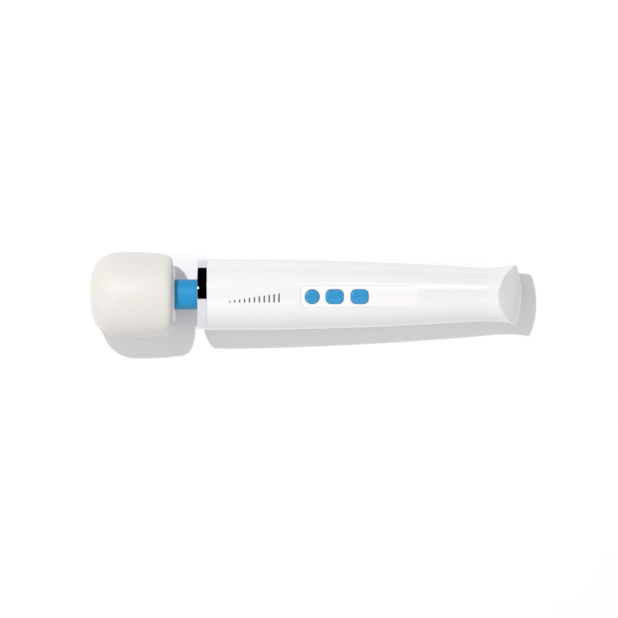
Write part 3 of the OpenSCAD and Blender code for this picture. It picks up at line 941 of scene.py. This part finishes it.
def make_button(name, outline, body, icon):
    """A domed cap with a rounded edge and an engraved icon, and the skirt that keeps it in."""
    edge_r, dome, engraved, soft = 0.9, 0.22, 0.16, 0.16
    skirt_t, cap_step, skirt_step = 0.8, 0.15, 0.5
    turns = [edge_r * (1 - cos(radians(a))) for a in range(0, 90, 15)]

    def across_cap(half):
        edge = [half - t for t in turns]
        return both_sides(lines([0, half - edge_r], cap_step) + edge[::-1])

    def height(s, y):
        depth = max(-outside(outline, s, y), 0)
        drop = edge_r - sqrt(max(edge_r**2 - max(edge_r - depth, 0) ** 2, 0))
        a, b = (s - outline.s) / outline.half_l, y / outline.half_w
        crown = dome * max(1 - a * a, 0) * max(1 - b * b, 0)
        sunk = engraved * (1 - ease(icon(s - outline.s, y) / soft))
        return crown_height(s, y, -button_proud) - drop + crown - sunk

    def moved(s, y):
        return round_corner(outline, s, y, full=edge_r)

    node_name = name + "_button"
    low = extent(node_name)[0][2]
    stations = [outline.s + t for t in across_cap(outline.half_l)]
    offsets = across_cap(outline.half_w)
    top = crown_grid(stations, offsets, moved, height)
    bottom = crown_grid(stations, offsets, moved, lambda s, y: low)
    skirt = grown(outline, skirt_out)
    stations = [skirt.s + t for t in lines([-skirt.half_l, skirt.half_l], skirt_step)]
    offsets = lines([-skirt.half_w, skirt.half_w], skirt_step)
    plates = [
        crown_grid(
            stations, offsets,
            lambda s, y: round_corner(skirt, s, y, full=edge_r),
            lambda s, y, z=z: z,
        )
        for z in (low + skirt_t, low)
    ]
    cap = add_mesh(node_name + "_cap", between(top, bottom), between(*plates))
    weigh(cap)
    finish_piece(cap, body, "button_blue", node_name)


def make_lenses():
    """Slightly domed lenses that nearly fill their holes in the panel."""
    fit_r, edge_r, depth, rise = lens_r + 0.085, 0.04, 3, 0.01
    solids = []
    for s in lens_stations:
        top = handle_radius(s) - panel_sink
        bottom = top - depth
        outline = rounded([(bottom, 0, 0), (bottom, fit_r, 0), (top - rise, fit_r, edge_r)])
        outline += [(top + rise, lens_r * 0.55), (top + 2 * rise, 0)]
        solids.append(spun(outline, upright(s, 0), steps=48))
    lenses = add_mesh("indicator_lens_set", *solids)
    weigh(lenses)
    finish_piece(lenses, "handle", "lens", "indicator_lenses")


def make_print():
    """A printed ramp of bars, from low to high, on the front of the handle."""
    count, spacing, bar_w, corner_r = 11, 2.8, 0.9, 0.42
    start, base, tallest = 80.6, -3.3, 5.4
    missing = 2.5  # steps of the ramp that are cut off before its first bar
    ink_step, ink_proud, ink_depth = 0.2, 0.02, 0.1
    solids = []
    for k in range(count):
        height = tallest * (k + missing) / (count - 1 + missing)
        bar = Outline(start + spacing * k, bar_w / 2, height / 2, corner_r)
        middle = base + height / 2
        stations = lines([bar.s - bar.half_l, bar.s + bar.half_l], ink_step)
        offsets = lines([-bar.half_w, bar.half_w], ink_step)
        flat = [[round_corner(bar, s, y) for y in offsets] for s in stations]
        skins = [
            [[(s, y + middle, crown_height(s, y + middle, inset)) for s, y in row] for row in flat]
            for inset in (-ink_proud, ink_depth)
        ]
        solids.append(between(*skins))
    ramp = add_mesh("printed_ramp", *solids)
    finish_piece(ramp, "handle", "panel_white", material=print_grey)


# ---------------------------------------------------------------- how the wand lies
#
# The wand rests on the bottom of its head and on its flared end, turned a little about its
# own axis. The floor, the light and the camera are set out from a level table under it.

roll = radians(4.3)
rest_head_s = head_l / 2
rest_tail_s = rim_station(0, 0)
rest_tail_r = handle_radius(rest_tail_s)
pitch = asin((head_r - rest_tail_r) / (rest_tail_s - rest_head_s))
middle_s = wand_l / 2
table_drop = head_r * cos(pitch) - (middle_s - rest_head_s) * sin(pitch)
lie = Matrix.Rotation(pitch, 4, "Y") @ Matrix.Rotation(roll, 4, "X")
from_table = Matrix.Translation(to_frame((middle_s, 0, 0))) @ lie.inverted()


def on_table(x, y, z):
    """Frame point from millimetres along, across and above the table, from the wand's middle."""
    return from_table @ Vector((x * MM, y * MM, (z - table_drop) * MM))


def by_ray(tree, camera, glossy, other):
    """One shader for what the camera sees, one for what gloss reflects, and one for the rest."""
    path = node(tree, "LightPath")
    mixed = other
    for ray, shader in (("Is Glossy Ray", glossy), ("Is Camera Ray", camera)):
        mixed = node(tree, "MixShader", {
            0: path.outputs[ray], 1: mixed.outputs[0], 2: shader.outputs[0],
        })
    return mixed.outputs[0]


def floor_finish(name, mirrored):
    """A floor that lights the wand a little less than it shows, and is even in its gloss."""
    material = bpy.data.materials.new(name)
    tree = empty_tree(material)
    seen, bounced = (
        node(tree, "BsdfDiffuse", {"Color": (level, level, level, 1)}) for level in (0.97, 0.8)
    )
    even = node(tree, "Emission", {"Strength": mirrored})
    node(tree, "OutputMaterial", {"Surface": by_ray(tree, seen, even, bounced)})
    return material


def make_floor():
    """A pale floor. Its far part is dark in the wand's gloss, like the room behind it."""
    half, far_edge = 2500, 240
    rows = [-half, far_edge, half]
    corners = [on_table(x, y, 0) for y in rows for x in (-half, half)]
    mesh = bpy.data.meshes.new("floor")
    mesh.from_pydata(corners, [], [(0, 1, 3, 2), (2, 3, 5, 4)])
    mesh.materials.append(floor_finish("floor_near", 0.95))
    mesh.materials.append(floor_finish("floor_far", 0.0))
    mesh.polygons[1].material_index = 1
    floor = add_object("floor", mesh)


def make_camera():
    """A camera that looks straight down at the table, a little beside the wand's middle."""
    distance, view_w, sensor = 1300, 357.3, 36
    beside_x, beside_y = 1.5, -8.4
    camera = bpy.data.cameras.new("camera")
    camera.sensor_width = sensor
    camera.lens = sensor * distance / view_w
    camera.clip_start, camera.clip_end = 0.05, 20
    holder = add_object("camera", camera)
    place = Matrix.Translation((beside_x * MM, beside_y * MM, distance * MM))
    holder.matrix_world = from_table @ place
    scene.camera = holder


def make_light():
    """A small near lamp whose light doesn't weaken with distance."""
    light = bpy.data.lights.new("key_light", "POINT")
    light.energy = 22
    light.shadow_soft_size = 11 * MM
    tree = empty_tree(light)
    falloff = node(tree, "LightFalloff", {"Strength": 1.0})
    glow = node(tree, "Emission", {"Strength": falloff.outputs["Constant"]})
    node(tree, "OutputLight", {"Surface": glow.outputs[0]})
    holder = add_object("key_light", light)
    holder.location = on_table(-212, 203, 550)


def maths(tree, operation, a, b):
    return node(tree, "Math", {0: a, 1: b}, operation=operation).outputs["Value"]


def reach_along(tree, direction, axis):
    """How far a direction reaches along a vector that is set out from the table."""
    turned = lie.inverted().to_3x3() @ Vector(axis)
    dot = node(tree, "VectorMath", {0: direction, 1: turned}, operation="DOT_PRODUCT")
    return dot.outputs["Value"]


def band(tree, direction, axis, edges, inside):
    """The two soft edges of a band over the table, as factors that are `inside` within it.

    The edges are in degrees from straight up towards an axis of the table.
    """
    soft = radians(1.5)
    side, up = (reach_along(tree, direction, way) for way in (axis, (0, 0, 1)))
    angle = maths(tree, "ARCTAN2", side, up)
    return [
        node(tree, "MapRange", {
            "Value": angle,
            "From Min": radians(edge) - soft, "From Max": radians(edge) + soft,
            "To Min": before, "To Max": 1 - before,
        }).outputs["Result"]
        for edge, before in zip(edges, (1 - inside, inside))
    ]


def make_world():
    """Even white light, with a dark side above the wand that only its gloss reflects.

    The dark side has one bright, soft-edged window in it, across and along the wand.
    """
    dark_side = (-15.5, 100)
    window_across, window_along, window_strength = (23, 41), (10, 24), 3.2
    lean = (-0.09, -0.2, 0)  # how the even light changes along, across and above the table
    level, tint, white = 0.64, (1, 0.972, 0.982, 1), (1, 1, 1, 1)
    world = bpy.data.worlds.new("studio")
    world.cycles.sampling_method = "NONE"
    scene.world = world
    tree = empty_tree(world)
    direction = node(tree, "TexCoord").outputs["Generated"]
    bright = maths(tree, "MAXIMUM", *band(tree, direction, (0, 1, 0), dark_side, 0))
    window = window_strength
    for axis, edges in (((0, 1, 0), window_across), ((1, 0, 0), window_along)):
        for factor in band(tree, direction, axis, edges, 1):
            window = maths(tree, "MULTIPLY", factor, window)
    seen = node(tree, "Background", {"Color": white, "Strength": 1.0})
    gloss = node(tree, "Background", {
        "Color": white, "Strength": maths(tree, "ADD", bright, window),
    })
    even = node(tree, "Background", {
        "Color": tint, "Strength": maths(tree, "ADD", reach_along(tree, direction, lean), level),
    })
    node(tree, "OutputWorld", {"Surface": by_ray(tree, seen, gloss, even)})
    scene.view_settings.view_transform = "Standard"


# ---------------------------------------------------------------- everything

for subpart in frame["record"]["subparts"]:
    for material_slot in frame["nodes"][subpart["node"]].material_slots:
        material_slot.material = FINISHES[subpart["material_slot"]]

make_head()
make_neck()
make_ring()
make_upper_shell()
make_lower_shell()
make_socket()
make_panel()
make_button("power", power_key, "power_key", power_icon)
make_button("minus", minus_key, "minus_key", minus_icon)
make_button("plus", plus_key, "plus_key", plus_icon)
make_lenses()
make_print()
make_floor()
make_camera()
make_light()
make_world()
